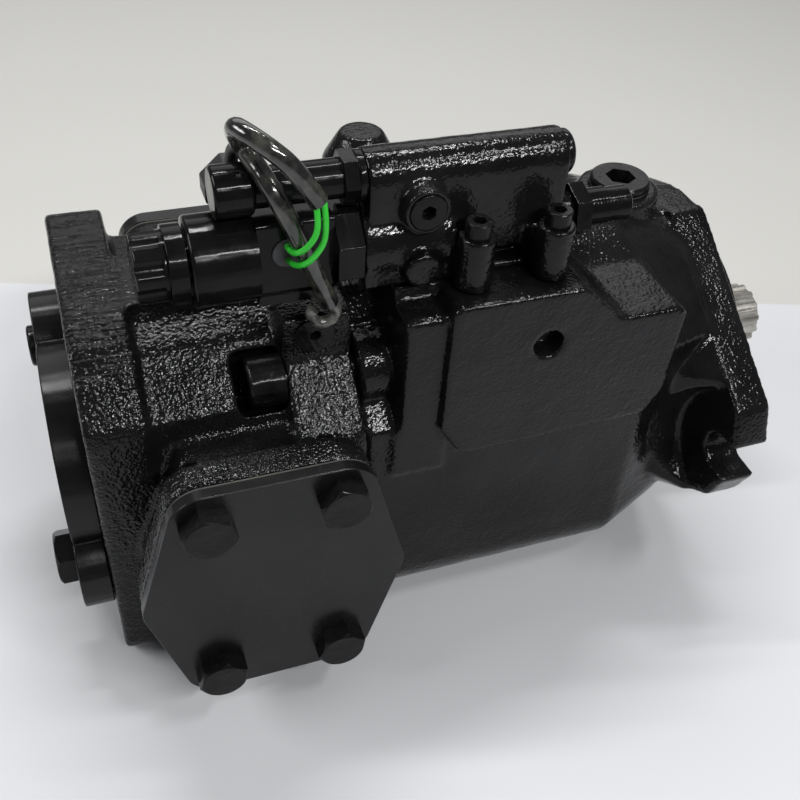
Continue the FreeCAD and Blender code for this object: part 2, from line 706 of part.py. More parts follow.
def face_plug(face_y, x, z, thread_r, collar_r, collar_h, half_flats, depth):
    """Small socket plug screwed into a face that looks towards -Y."""
    collar = cyl_y(face_y - collar_h, face_y, x, z, collar_r)
    thread = cyl_y(face_y, face_y + depth + 3.0, x, z, thread_r)
    socket = socket_tool(Y_AXIS * -1, vec(x, face_y - collar_h, z), half_flats, depth)
    return fuse([collar, thread]).cut(socket)


def joint_screws():
    seat_x = LUG_FACE_X
    return [cap_screw(X_AXIS * -1, vec(seat_x, y, z), M14_CAP, 50.0, 8.0) for y, z in JOINT_SCREWS]


def valve_screws():
    return [cap_screw(Z_AXIS, vec(x, y, SCREW_SEAT_Z), M6_CAP, 36.0, 3.5) for x, y in valve_screw_places()]


# ---------------------------------------------------------------- shaft and bearings
def drive_shaft():
    """Splined end, seal journal, two bearing journals and the spline inside the block."""
    body = fuse([
        cyl_x(-30.0, 14.0, 0, 0, 18.0),
        cyl_x(14.0, SHAFT_END_X - 1.5, 0, 0, SPLINE_ROOT_R),
        cone_x(SHAFT_END_X - 1.5, SHAFT_END_X, 0, 0, SPLINE_ROOT_R, SPLINE_ROOT_R - 1.5),
        cyl_x(-48.0, -30.0, 0, 0, 20.0),
        cyl_x(-184.0, -48.0, 0, 0, BLOCK_SPLINE_R),
        cyl_x(-205.0, -184.0, 0, 0, 15.0),
    ])
    teeth = []
    half_root = math.pi * SPLINE_ROOT_R / SPLINE_TEETH * 0.62
    half_tip = half_root * 0.55
    for i in range(SPLINE_TEETH):
        tooth = prism_x([
            (SPLINE_ROOT_R - 1.0, -half_root), (SPLINE_ROOT_R, -half_root), (SPLINE_R, -half_tip),
            (SPLINE_R, half_tip), (SPLINE_ROOT_R, half_root), (SPLINE_ROOT_R - 1.0, half_root),
        ], SHAFT_END_X - SPLINE_L, SHAFT_END_X - 2.0)
        tooth.rotate(vec(0, 0, 0), X_AXIS, 360.0 * i / SPLINE_TEETH)
        teeth.append(tooth)
    return fuse([body] + teeth)


def bearing(x0, x1, shaft_r, bore_r, rollers):
    """Outer ring, and inner ring with its rollers as separate solids."""
    roller_r = (bore_r - shaft_r) / 2 * 0.42
    middle = (bore_r + shaft_r) / 2
    outer = ring_x(x0, x1, 0, 0, bore_r, middle + roller_r + RUN_CLEAR)
    inner = [ring_x(x0, x1, 0, 0, middle - roller_r, shaft_r)]
    for y, z in in_circle(rollers, middle):
        inner.append(cyl_x(x0 + 2.0, x1 - 2.0, y, z, roller_r))
    return outer, inner


# ---------------------------------------------------------------- rotating group
BLOCK_HUB_R = 25.0


def cylinder_block():
    block = cyl_x(BLOCK_REAR_X, BLOCK_FRONT_X, 0, 0, BLOCK_R)
    nose = cyl_x(BLOCK_FRONT_X, BLOCK_FRONT_X + 8.0, 0, 0, BLOCK_HUB_R)
    tools = [cyl_x(BLOCK_REAR_X - 1, BLOCK_FRONT_X + 9, 0, 0, BLOCK_SPLINE_R)]
    for y, z in in_circle(PISTON_COUNT, PISTON_PCR, 0.2):
        tools.append(cyl_x(BLOCK_REAR_X + 12.0, BLOCK_FRONT_X + 1, y, z, PISTON_R + RUN_CLEAR))
        tools.append(cyl_x(BLOCK_REAR_X - 1, BLOCK_REAR_X + 12.5, y, z, 6.0))
    tools.append(ring_x(BLOCK_REAR_X + 20.0, BLOCK_FRONT_X + 9, 0, 0, 21.0, BLOCK_SPLINE_R - 1.0))
    return cut(fuse([block, nose]), tools)


def piston(y, z):
    skirt = cyl_x(BALL_X - 62.0, BALL_X - 12.0, y, z, PISTON_R)
    neck = cyl_x(BALL_X - 13.0, BALL_X - 3.0, y, z, 4.5)
    ball = Part.makeSphere(BALL_R, vec(BALL_X, y, z))
    hollow = cyl_x(BALL_X - 63.0, BALL_X - 22.0, y, z, 6.0)
    return fuse([skirt, neck, ball]).cut(hollow)


def slipper(y, z):
    shoe = cyl_x(SWASH_FACE_X - 4.0, SWASH_FACE_X - 0.4, y, z, SLIPPER_R)
    cup = cyl_x(BALL_X - 2.0, SWASH_FACE_X - 3.9, y, z, BALL_R + 2.0)
    return fuse([shoe, cup]).cut(Part.makeSphere(BALL_R, vec(BALL_X, y, z)))


def retainer_plate():
    x1 = SWASH_FACE_X - 4.3
    disc = cyl_x(x1 - 3.0, x1, 0, 0, 51.5)
    tools = [cyl_x(x1 - 4, x1 + 1, 0, 0, 23.0)]
    for y, z in in_circle(PISTON_COUNT, PISTON_PCR, 0.2):
        tools.append(cyl_x(x1 - 4, x1 + 1, y, z, BALL_R + 2.4))
    return cut(disc, tools)


def retainer_guide():
    """Ball-shaped bush on the shaft that carries the retainer plate."""
    ball = Part.makeSphere(24.5, vec(SWASH_FACE_X - 12.0, 0, 0))
    slab = cyl_x(BLOCK_FRONT_X + 8.4, SWASH_FACE_X - 5.8, 0, 0, 24.0)
    return ball.common(slab).cut(cyl_x(-130, -60, 0, 0, BLOCK_SPLINE_R)).cut(retainer_plate())


def spring_line(x0, x1, y, z, coil_r, half_wire, turns):
    """Helix along X for a spring whose ends are at x0 and x1."""
    length = x1 - x0 - 2 * half_wire
    helix = Part.makeHelix(length / turns, length, coil_r)
    helix.rotate(vec(0, 0, 0), Y_AXIS, 90)
    helix.translate(vec(x0 + half_wire, y, z))
    return helix


def coil_spring(x0, x1, y, z, coil_r, wire_r, turns):
    """Spring of round wire."""
    helix = spring_line(x0, x1, y, z, coil_r, wire_r, turns)
    first = helix.Edges[0]
    tangent = first.tangentAt(first.FirstParameter)
    profile = Part.Wire(Part.makeCircle(wire_r, helix.Vertexes[0].Point, tangent))
    return Part.Wire(helix).makePipeShell([profile], True, True)


def square_spring(x0, x1, y, z, coil_r, half_wire, turns):
    """Heavy spring of square wire."""
    helix = spring_line(x0, x1, y, z, coil_r, half_wire, turns)
    start = helix.Vertexes[0].Point
    corners = [start + vec(a * half_wire, 0, b * half_wire) for a, b in ((-1, -1), (1, -1), (1, 1), (-1, 1))]
    profile = Part.makePolygon(corners + corners[:1])
    return Part.Wire(helix).makePipeShell([profile], True, True)


def swashplate():
    disc = cyl_x(SWASH_FACE_X, SWASH_FACE_X + 14.0, 0, 0, 53.0)
    segments = []
    for side in (-1, 1):
        y0, y1 = sorted((side * (CRADLE_Y - CRADLE_W / 2), side * (CRADLE_Y + CRADLE_W / 2 - 0.5)))
        seg = cyl_y(y0, y1, CRADLE_X, 0, CRADLE_R)
        segments.append(seg.common(box(SWASH_FACE_X, 0.0, -80, 80, -36.0, 36.0)))
        y0, y1 = sorted((side * (CONTROL_Y - 6.0), side * (CONTROL_Y + 6.0)))
        segments.append(box(SWASH_FACE_X, SWASH_FACE_X + 12.0, y0, y1, 20.0, CONTROL_Z + 6.0))
    return cut(fuse([disc] + segments), [cyl_x(SWASH_FACE_X - 1, -40.0, 0, 0, 21.5)])


def cradle_shells():
    shells = []
    for side in (-1, 1):
        y0, y1 = sorted((side * (CRADLE_Y - CRADLE_W / 2 + 0.5), side * (CRADLE_Y + CRADLE_W / 2 - 0.5)))
        shell = cyl_y(y0, y1, CRADLE_X, 0, CRADLE_R + CRADLE_SHELL_T).cut(
            cyl_y(y0 - 1, y1 + 1, CRADLE_X, 0, CRADLE_R))
        shells.append(shell.common(box(-64.0, -40.0, -80, 80, -30.0, 30.0)))
    return shells


def control_piston():
    body = cyl_x(-128.0, SWASH_FACE_X - 2.0, -CONTROL_Y, CONTROL_Z, CONTROL_R - RUN_CLEAR)
    return body.fuse(cyl_x(SWASH_FACE_X - 2.0, SWASH_FACE_X, -CONTROL_Y, CONTROL_Z, 5.0))


def bias_piston():
    body = cyl_x(-116.0, SWASH_FACE_X - 2.0, CONTROL_Y, CONTROL_Z, CONTROL_R - RUN_CLEAR)
    tip = cyl_x(SWASH_FACE_X - 2.0, SWASH_FACE_X, CONTROL_Y, CONTROL_Z, 5.0)
    return fuse([body, tip]).cut(cyl_x(-117.0, -100.0, CONTROL_Y, CONTROL_Z, 8.0))


def valve_plate():
    """Ring with one port window for each side."""
    plate = ring_x(JOINT_X, JOINT_X + VALVE_PLATE_T, 0, 0, 56.0, 28.0)
    window_z = PORT_Z + 1.0
    windows = []
    for side, half_z in ((-1, 22.0), (1, 14.0)):
        y0, y1 = sorted((side * 34.5, side * 45.0))
        windows.append(box(JOINT_X - 1, JOINT_X + VALVE_PLATE_T + 1, y0, y1,
                           window_z - half_z, window_z + half_z))
    return cut(plate, windows)


# ---------------------------------------------------------------- parts of the control valve
def spool(x0, x1, z):
    """Valve spool with three lands and a spring nose."""
    stem = cyl_x(x0, x1, VALVE_Y, z, SPOOL_R * 0.62)
    length = x1 - x0
    lands = [cyl_x(x0 + length * a, x0 + length * b, VALVE_Y, z, SPOOL_R)
             for a, b in ((0.0, 0.22), (0.40, 0.58), (0.78, 1.0))]
    return fuse([stem] + lands)


UPPER_RING_X = -179.0
UPPER_NUT_X = -184.5
UPPER_TUBE_X = -215.7
UPPER_THREAD_L = 10.0
UPPER_CAP_X = (-230.0, -216.0)
UPPER_STEM_R = 4.0
COIL_X = (-240.0, -216.5)
BLOCK_X = (-216.5, -188.5)
BLOCK_FRONT_Y = -50.0
HEX_X = (-188.5, VALVE_BULGE_X0)
RING_X = (-247.5, -240.8)
KNOB_X = (-258.8, -247.5)
TUBE_R = 8.0
RIGHT_STEM_R = 3.5
RIGHT_THREAD_X = -108.5
RIGHT_HEX_X = (-90.5, -84.0)
RIGHT_CAP_STEP_X = -74.0
RIGHT_CAP_END_X = -64.0
ARMATURE_R = 5.5
PIN_R = 2.0


def upper_sleeve():
    """Fixed tube of the upper setting screw, with its hexagon and ring against the valve body."""
    thread_end = VALVE_X0 + UPPER_THREAD_L
    tube = cyl_x(UPPER_TUBE_X, VALVE_X0, VALVE_Y, UPPER_Z, 7.2)
    hexagon = poly_x(6, UPPER_NUT_X, UPPER_RING_X, VALVE_Y, UPPER_Z, 8.5, 0.0)
    ring = cyl_x(UPPER_RING_X, VALVE_X0, VALVE_Y, UPPER_Z, 9.3)
    thread = cyl_x(VALVE_X0, thread_end, VALVE_Y, UPPER_Z, 6.5)
    bore = cyl_x(UPPER_TUBE_X - 1, thread_end + 1, VALVE_Y, UPPER_Z, UPPER_STEM_R)
    return fuse([tube, hexagon, ring, thread]).cut(bore)


def upper_screw():
    """Turning cap of the upper setting screw, with a stem that reaches the spring seat."""
    cap = cyl_x(UPPER_CAP_X[0], UPPER_CAP_X[1], VALVE_Y, UPPER_Z, 9.3)
    cap = cap.makeChamfer(1.0, [e for e in cap.Edges if e.Closed])
    stem = cyl_x(UPPER_CAP_X[1] - 1.0, -181.8, VALVE_Y, UPPER_Z, UPPER_STEM_R - RUN_CLEAR)
    return fuse([cap, stem])


def seat_disc(x_face, x_spring, z, r):
    """Spring seat: a disc between a screw's end and the spring, with a nose inside the spring."""
    nose_end = x_spring + math.copysign(3.0, x_spring - x_face)
    disc = cyl_x(min(x_face, x_spring), max(x_face, x_spring), VALVE_Y, z, r)
    nose = cyl_x(min(x_spring, nose_end), max(x_spring, nose_end), VALVE_Y, z, r * 0.5)
    return fuse([disc, nose])


def right_nut():
    """Screwed-in bush of the drive end setting screw: a collar and a hexagon."""
    thread = cyl_x(RIGHT_THREAD_X, VALVE_X1, VALVE_Y, LOWER_Z, 6.5)
    collar = cyl_x(VALVE_X1, RIGHT_HEX_X[0], VALVE_Y, LOWER_Z, 7.4)
    hexagon = poly_x(6, RIGHT_HEX_X[0], RIGHT_HEX_X[1], VALVE_Y, LOWER_Z, 9.6, 0.3)
    bore = cyl_x(RIGHT_THREAD_X - 1, RIGHT_HEX_X[1] + 1, VALVE_Y, LOWER_Z, RIGHT_STEM_R)
    return fuse([thread, collar, hexagon]).cut(bore)


def right_screw():
    """Setting screw at the drive end, with a long stepped cap."""
    cap_x = RIGHT_HEX_X[1] + 0.3
    tip = cyl_x(RIGHT_CAP_STEP_X, RIGHT_CAP_END_X, VALVE_Y, LOWER_Z, 7.1)
    rim = [e for e in tip.Edges if e.Closed and e.CenterOfMass.x > RIGHT_CAP_END_X - 0.1]
    return fuse([
        cyl_x(RIGHT_THREAD_X - 2, cap_x, VALVE_Y, LOWER_Z, RIGHT_STEM_R - RUN_CLEAR),
        cyl_x(cap_x, RIGHT_CAP_STEP_X, VALVE_Y, LOWER_Z, 7.5),
        tip.makeChamfer(0.8, rim),
    ])


def end_plug():
    """Round plug that closes the upper bore at the drive end."""
    cap = cyl_x(VALVE_X1, VALVE_X1 + 3.5, VALVE_Y, UPPER_Z, 8.5)
    rim = [e for e in cap.Edges if e.Closed and e.CenterOfMass.x > VALVE_X1 + 3.4]
    thread = cyl_x(VALVE_X1 - 9.0, VALVE_X1, VALVE_Y, UPPER_Z, 6.0)
    return fuse([cap.makeChamfer(1.2, rim), thread])


def solenoid_tube():
    """Pressure tube with the eight-sided part that screws into the valve."""
    flats = poly_x(8, HEX_X[0], HEX_X[1], VALVE_Y, LOWER_Z, 15.5, math.pi / 8)
    tube = cyl_x(KNOB_X[0] + 6.0, HEX_X[0], VALVE_Y, LOWER_Z, TUBE_R)
    thread = cyl_x(HEX_X[1], HEX_X[1] + 9.0, VALVE_Y, LOWER_Z, 8.0)
    chamber = cyl_x(-236.0, HEX_X[1] - 4.0, VALVE_Y, LOWER_Z, ARMATURE_R + RUN_CLEAR)
    pin_hole = cyl_x(HEX_X[1] - 5.0, HEX_X[1] + 10.0, VALVE_Y, LOWER_Z, PIN_R + RUN_CLEAR)
    return fuse([flats, tube, thread]).cut(fuse([chamber, pin_hole]))


def coil():
    """Round coil can with its square connector block and the cable hole in the block."""
    can = cyl_x(COIL_X[0], COIL_X[1], VALVE_Y, LOWER_Z, COIL_R)
    can = can.makeFillet(1.5, [e for e in can.Edges if e.Closed and e.CenterOfMass.x < COIL_X[0] + 0.1])
    low, high = LOWER_Z - COIL_HALF, LOWER_Z + COIL_HALF
    block = box(BLOCK_X[0], BLOCK_X[1], BLOCK_FRONT_Y, VALVE_Y + COIL_HALF, low, high)
    block = round_along(block, X_AXIS, 2.0)
    lip = box(BLOCK_X[0], BLOCK_X[1], BLOCK_FRONT_Y - 1.2, BLOCK_FRONT_Y + 3.0, low, low + 4.0)
    tube_hole = cyl_x(COIL_X[0] - 1, BLOCK_X[1] + 1, VALVE_Y, LOWER_Z, TUBE_R)
    cable_hole = cyl_y(BLOCK_FRONT_Y - 1.0, BLOCK_FRONT_Y + 1.0, GROMMET[0], GROMMET[1], GROMMET_R)
    return cut(fuse([can, block, lip]), [tube_hole, cable_hole])


# ---------------------------------------------------------------- cable
GROMMET = (-205.8, 112.3)
GROMMET_R = 5.6
SLEEVE_R = 3.5
WIRE_R = 1.1
SLEEVE_ROUTE = [
    (-192.0, -56.5, 92.4), (-197.1, -57.5, 105.5), (-202.0, -57.5, 119.2), (-207.3, -57.0, 131.4),
    (-211.6, -54.0, 140.7), (-214.6, -46.0, 145.5), (-218.2, -38.5, 149.9), (-222.1, -46.0, 160.8),
    (-219.3, -54.0, 161.8), (-213.0, -59.0, 158.2), (-205.4, -62.0, 151.6), (-197.8, -62.0, 138.7),
]
WIRE_UPPER_ROUTE = [
    (-206.0, -50.8, 115.7), (-206.5, -60.0, 117.8), (-202.3, -64.5, 122.6), (-197.8, -64.5, 130.0),
    (-198.8, -62.0, 138.1),
]
WIRE_LOWER_ROUTE = [
    (-205.7, -50.8, 109.7), (-204.9, -59.0, 111.6), (-200.3, -64.5, 117.8), (-195.0, -65.2, 127.5),
    (-196.2, -62.0, 139.3),
]
SLEEVE_HOOK = [SLEEVE_ROUTE[0], (-193.4, -56.0, 83.6), (-198.0, -56.0, 90.5)]
HOOK_R = 2.3
CABLE_PLUG_Y = (-31.0, -21.0)
CABLE_PLUG = [(-230.0, 124.0), (-230.0, 131.0), (-222.5, 138.0), (-217.5, 138.0), (-217.5, 124.0)]
CABLE_TAIL = [(-220.0, -28.0, 135.0), (-219.5, -29.5, 144.0), (-217.2, -38.0, 149.2)]
CABLE_TAIL_R = 2.4


def routed(route, radius):
    return tube_along(rounded_wire([vec(*point) for point in route]), radius)


def cable_sleeve():
    return routed(SLEEVE_ROUTE, SLEEVE_R)


def wire(route):
    """One wire, trimmed where it meets the grommet and the sleeve."""
    return routed(route, WIRE_R).cut(fuse([cable_sleeve(), grommet()]))


def sleeve_hook():
    """Curled end of the cable sleeve, trimmed where it meets the sleeve."""
    start, middle, end = [vec(*point) for point in SLEEVE_HOOK]
    return tube_along(Part.Wire(Part.Arc(start, middle, end).toShape()), HOOK_R).cut(cable_sleeve())


def cable_plug():
    """Two-way plug tucked behind the cap, with the short tail that joins the sleeve."""
    body = round_along(prism_y(CABLE_PLUG, *CABLE_PLUG_Y), Y_AXIS, 1.5)
    tail = routed(CABLE_TAIL, CABLE_TAIL_R)
    return fuse([body, tail]).cut(cable_sleeve())


def grommet():
    return cyl_y(BLOCK_FRONT_Y - 0.8, BLOCK_FRONT_Y + 1.0, GROMMET[0], GROMMET[1], GROMMET_R)


def coil_ring():
    return ring_x(RING_X[0], RING_X[1], VALVE_Y, LOWER_Z, 14.4, TUBE_R)


def coil_nut():
    """Lobed nut that holds the coil on its tube."""
    body = cyl_x(KNOB_X[0], KNOB_X[1], VALVE_Y, LOWER_Z, 12.8)
    body = body.makeFillet(1.5, [e for e in body.Edges if e.Closed and e.CenterOfMass.x < KNOB_X[0] + 0.1])
    flutes = []
    for y, z in in_circle(8, 15.2, 0.25):
        flutes.append(cyl_x(KNOB_X[0] - 1, KNOB_X[1] - 1.5, VALVE_Y + y, LOWER_Z + z, 4.0))
    bore = cyl_x(KNOB_X[0] + 6.0, KNOB_X[1] + 1, VALVE_Y, LOWER_Z, TUBE_R)
    return cut(body, flutes + [bore])


def armature():
    iron = cyl_x(-228.0, -200.0, VALVE_Y, LOWER_Z, ARMATURE_R)
    pin = cyl_x(-201.0, -163.3, VALVE_Y, LOWER_Z, PIN_R)
    return fuse([iron, pin])


# ---------------------------------------------------------------- build every node
save(housing(), "housing")
save(port_plate(), "port_plate")
save_group(joint_screws(), "joint_screws")

save(port_cover(-1, SUCTION, SUCTION_COVER_T), "suction_cover")
save(port_seal(-1, SUCTION, SUCTION_BORE_R), "suction_seal")
save_group(port_bolts(-1, SUCTION_COVER_T, SUCTION_SPANS), "suction_bolts")
save(port_cover(1, PRESSURE, PRESSURE_COVER_T), "pressure_cover")
save(port_seal(1, PRESSURE, PRESSURE_BORE_R), "pressure_seal")
save_group(port_bolts(1, PRESSURE_COVER_T, PRESSURE_SPANS), "pressure_bolts")
save(end_cover(), "end_cover")
save(end_bolt(), "end_cover_bolt")
save(end_screw(), "end_cover_screw")

save(drain_plug(), "drain_plug")
save(drain_seal(), "drain_seal")
save(face_plug(LUG_FACE_Y, *LUG_PLUG, LUG_PLUG_R, LUG_PLUG_COLLAR_R, 0.8, 2.0, 5.0), "lug_plug")

save(drive_shaft(), "drive_shaft")
front_outer, front_inner = bearing(-48.0, -30.0, 20.0, BEARING_R, 16)
rear_outer, rear_inner = bearing(-204.0, -185.0, 15.0, REAR_BEARING_R, 14)
save(front_outer, "front_bearing_outer")
save_group(front_inner, "front_bearing_inner")
save(rear_outer, "rear_bearing_outer")
save_group(rear_inner, "rear_bearing_inner")
save(ring_x(-13.0, -5.0, 0, 0, SEAL_BORE_R, 18.05), "shaft_seal")
save(ring_x(-4.6, -3.0, 0, 0, SEAL_BORE_R, 22.0), "seal_ring")

save(cylinder_block(), "cylinder_block")
places = list(in_circle(PISTON_COUNT, PISTON_PCR, 0.2))
save_group([piston(y, z) for y, z in places], "pistons")
save_group([slipper(y, z) for y, z in places], "slippers")
save(retainer_plate(), "retainer_plate")
save(retainer_guide(), "retainer_guide")
save(square_spring(-154.0, -104.5, 0, 0, 18.8, 1.6, 6), "block_spring")
save(valve_plate(), "valve_plate")
save(swashplate(), "swashplate")
save_group(cradle_shells(), "cradle_bearings")
save(control_piston(), "control_piston")
save(bias_piston(), "bias_piston")
save(coil_spring(-151.5, -100.0, CONTROL_Y, CONTROL_Z, 6.2, 1.3, 8), "bias_spring")

save(valve_body(), "valve_body")
save_group(valve_screws(), "valve_screws")
save(face_plug(VALVE_Y - 16.5, *PORT_PLUG, PORT_PLUG_R, PORT_PLUG_HEAD_R, 1.5, 2.5, 4.5), "port_plug")
save(upper_sleeve(), "upper_sleeve")
save(upper_screw(), "upper_screw")
save(seat_disc(-181.5, -175.0, UPPER_Z, 3.9), "upper_seat")
save(end_plug(), "end_plug")
save(spool(-163.0, -121.0, UPPER_Z), "upper_spool")
save(coil_spring(-174.9, -163.1, VALVE_Y, UPPER_Z, 3.0, 0.6, 4), "upper_spring")
save(right_nut(), "right_nut")
save(right_screw(), "right_screw")
save(spool(-163.0, -133.0, LOWER_Z), "lower_spool")
save(seat_disc(-110.8, -113.0, LOWER_Z, 4.4), "lower_seat")
save(coil_spring(-132.9, -113.1, VALVE_Y, LOWER_Z, 3.3, 0.6, 5), "lower_spring")
save(solenoid_tube(), "solenoid_tube")
save(coil(), "coil")
save(coil_ring(), "coil_ring")
save(coil_nut(), "coil_nut")
save(armature(), "armature")
save(grommet(), "grommet")
save(cable_sleeve(), "cable_sleeve")
save(wire(WIRE_UPPER_ROUTE), "wire_upper")
save(wire(WIRE_LOWER_ROUTE), "wire_lower")
save(sleeve_hook(), "sleeve_hook")
save(cable_plug(), "cable_plug")
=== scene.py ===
"""Looks of a flange mounted axial piston pump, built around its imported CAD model. Metres."""
import json
import math

import bmesh
import bpy
from mathutils import Matrix, Vector

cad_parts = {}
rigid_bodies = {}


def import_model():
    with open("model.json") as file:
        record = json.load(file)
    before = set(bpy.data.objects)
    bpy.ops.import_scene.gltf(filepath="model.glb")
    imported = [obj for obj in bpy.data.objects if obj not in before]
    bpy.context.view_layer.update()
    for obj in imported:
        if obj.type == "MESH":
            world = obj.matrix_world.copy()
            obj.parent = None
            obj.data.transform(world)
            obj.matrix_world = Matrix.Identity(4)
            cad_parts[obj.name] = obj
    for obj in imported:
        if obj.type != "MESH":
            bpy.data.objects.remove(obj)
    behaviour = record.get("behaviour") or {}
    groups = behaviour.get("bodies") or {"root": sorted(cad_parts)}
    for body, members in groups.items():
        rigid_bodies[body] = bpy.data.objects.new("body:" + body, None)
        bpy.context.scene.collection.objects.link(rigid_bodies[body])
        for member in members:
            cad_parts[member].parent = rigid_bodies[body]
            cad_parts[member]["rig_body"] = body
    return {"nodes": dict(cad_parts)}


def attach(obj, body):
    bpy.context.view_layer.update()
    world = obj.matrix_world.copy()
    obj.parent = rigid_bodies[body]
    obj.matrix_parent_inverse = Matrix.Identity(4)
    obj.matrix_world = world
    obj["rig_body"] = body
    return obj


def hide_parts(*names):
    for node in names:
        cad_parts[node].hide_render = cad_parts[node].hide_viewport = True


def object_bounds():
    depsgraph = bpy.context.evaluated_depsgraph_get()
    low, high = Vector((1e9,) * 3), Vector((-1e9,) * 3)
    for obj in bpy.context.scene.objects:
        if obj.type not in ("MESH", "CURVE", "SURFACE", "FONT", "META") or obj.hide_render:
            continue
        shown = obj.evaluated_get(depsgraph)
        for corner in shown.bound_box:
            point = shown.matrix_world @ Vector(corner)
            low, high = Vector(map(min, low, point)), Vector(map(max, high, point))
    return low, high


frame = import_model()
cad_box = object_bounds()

NODES = frame["nodes"]
ROOT = "housing"
FLOOR_Z = cad_box[0][2] - 0.0002


# ---------------------------------------------------------------- node helpers
class Shader:
    """A material with one principled shader, and short ways to feed its sockets."""

    def __init__(self, name):
        self.material = bpy.data.materials.new(name)
        self.material.use_nodes = True
        self.tree = self.material.node_tree
        self.bsdf = self.tree.nodes["Principled BSDF"]
        self.place = self.tree.nodes.new("ShaderNodeTexCoord").outputs["Object"]

    def set(self, **values):
        """Constant values for the principled shader's sockets, named with _ for a space."""
        for name, value in values.items():
            self.bsdf.inputs[name.replace("_", " ")].default_value = value
        return self

    def link(self, source, target):
        self.tree.links.new(source, target)

    def stretched(self, scale):
        """The object's own coordinates, scaled differently along each axis."""
        mapping = self.tree.nodes.new("ShaderNodeMapping")
        mapping.inputs["Scale"].default_value = scale
        self.link(self.place, mapping.inputs["Vector"])
        return mapping.outputs["Vector"]

    def noise(self, scale, detail=2.0, rough=0.5, vector=None):
        node = self.tree.nodes.new("ShaderNodeTexNoise")
        node.inputs["Scale"].default_value = scale
        node.inputs["Detail"].default_value = detail
        node.inputs["Roughness"].default_value = rough
        self.link(vector or self.place, node.inputs["Vector"])
        return node.outputs["Fac"]

    def spread(self, source, low, high, out_low=0.0, out_high=1.0):
        """Remap low..high to out_low..out_high."""
        node = self.tree.nodes.new("ShaderNodeMapRange")
        limits = (("From Min", low), ("From Max", high), ("To Min", out_low), ("To Max", out_high))
        for name, value in limits:
            node.inputs[name].default_value = value
        self.link(source, node.inputs["Value"])
        return node.outputs["Result"]

    def math(self, operation, a, b):
        node = self.tree.nodes.new("ShaderNodeMath")
        node.operation = operation
        for socket, value in zip(node.inputs, (a, b)):
            if isinstance(value, (int, float)):
                socket.default_value = value
            else:
                self.link(value, socket)
        return node.outputs[0]

    def blend(self, factor, dark, light):
        """Colour mix; dark and light are colours or sockets."""
        node = self.tree.nodes.new("ShaderNodeMix")
        node.data_type = "RGBA"
        self.link(factor, node.inputs["Factor"])
        for name, value in (("A", dark), ("B", light)):
            socket = [s for s in node.inputs if s.name == name and s.type == "RGBA"][0]
            if isinstance(value, tuple):
                socket.default_value = (*value, 1.0)
            else:
                self.link(value, socket)
        return [s for s in node.outputs if s.type == "RGBA"][0]

    def axis(self, letter):
        node = self.tree.nodes.new("ShaderNodeSeparateXYZ")
        self.link(self.place, node.inputs[0])
        return node.outputs[letter]

    def colour(self, socket):
        self.link(socket, self.bsdf.inputs["Base Color"])
        return self

    def roughness(self, socket):
        self.link(socket, self.bsdf.inputs["Roughness"])
        return self

    def bump(self, *layers):
        """Stack height layers, each (height socket, depth in metres)."""
        normal = None
        for height, depth in layers:
            node = self.tree.nodes.new("ShaderNodeBump")
            node.inputs["Strength"].default_value = 1.0
            node.inputs["Distance"].default_value = depth
            self.link(height, node.inputs["Height"])
            if normal:
                self.link(normal, node.inputs["Normal"])
            normal = node.outputs["Normal"]
        self.link(normal, self.bsdf.inputs["Normal"])
        return self


# ---------------------------------------------------------------- materials
BLACK_LOW = (0.0025, 0.0025, 0.0028)
BLACK_HIGH = (0.0075, 0.0075, 0.0080)
GRAIN_DEPTH = 0.00042
HILL_DEPTH = 0.00040
STREAK_DEPTH = 0.0007
STREAK_SCALE = (42.0, 430.0, 430.0)
STREAK_LOW_Z, STREAK_HIGH_Z = 0.063, 0.070
STREAK_FADE = 0.002
SLAB_FRONT_X = -0.262


def cast_paint(name, skin, streak_x=None):
    """Thick gloss black paint over rough cast iron.

    skin scales how rough the casting is; behind streak_x, upward faces show cutting marks along X.
    """
    s = Shader(name).set(IOR=1.5, Specular_IOR_Level=0.22)
    s.colour(s.blend(s.spread(s.noise(34.0, 4.0, 0.6), 0.35, 0.7), BLACK_LOW, BLACK_HIGH))
    s.roughness(s.spread(s.noise(60.0, 3.0, 0.6), 0.3, 0.7, 0.09, 0.16))
    grains = s.noise(760.0, 1.0, 0.4)
    hills = s.noise(300.0, 2.0, 0.5)
    layers = [(hills, HILL_DEPTH * skin), (grains, GRAIN_DEPTH * skin)]
    if streak_x is not None:
        streaks = s.spread(s.noise(1.0, 2.0, 0.5, s.stretched(STREAK_SCALE)), 0.50, 0.66, 1.0, 0.0)
        inside = s.spread(s.axis("X"), streak_x - STREAK_FADE, streak_x + STREAK_FADE, 1.0, 0.0)
        high = s.spread(s.axis("Z"), STREAK_LOW_Z, STREAK_HIGH_Z)
        layers.append((s.math("MULTIPLY", streaks, s.math("MULTIPLY", inside, high)), STREAK_DEPTH))
    return s.bump(*layers).material


def machined_paint(name):
    """The same paint over smooth machined or rolled steel."""
    s = Shader(name).set(IOR=1.5, Specular_IOR_Level=0.26)
    s.colour(s.blend(s.spread(s.noise(26.0, 5.0, 0.65), 0.35, 0.72), BLACK_LOW, BLACK_HIGH))
    s.roughness(s.spread(s.noise(48.0, 4.0, 0.6), 0.3, 0.7, 0.22, 0.32))
    return s.bump((s.noise(45.0, 2.0), 0.00035), (s.noise(900.0, 1.5), 0.00003)).material


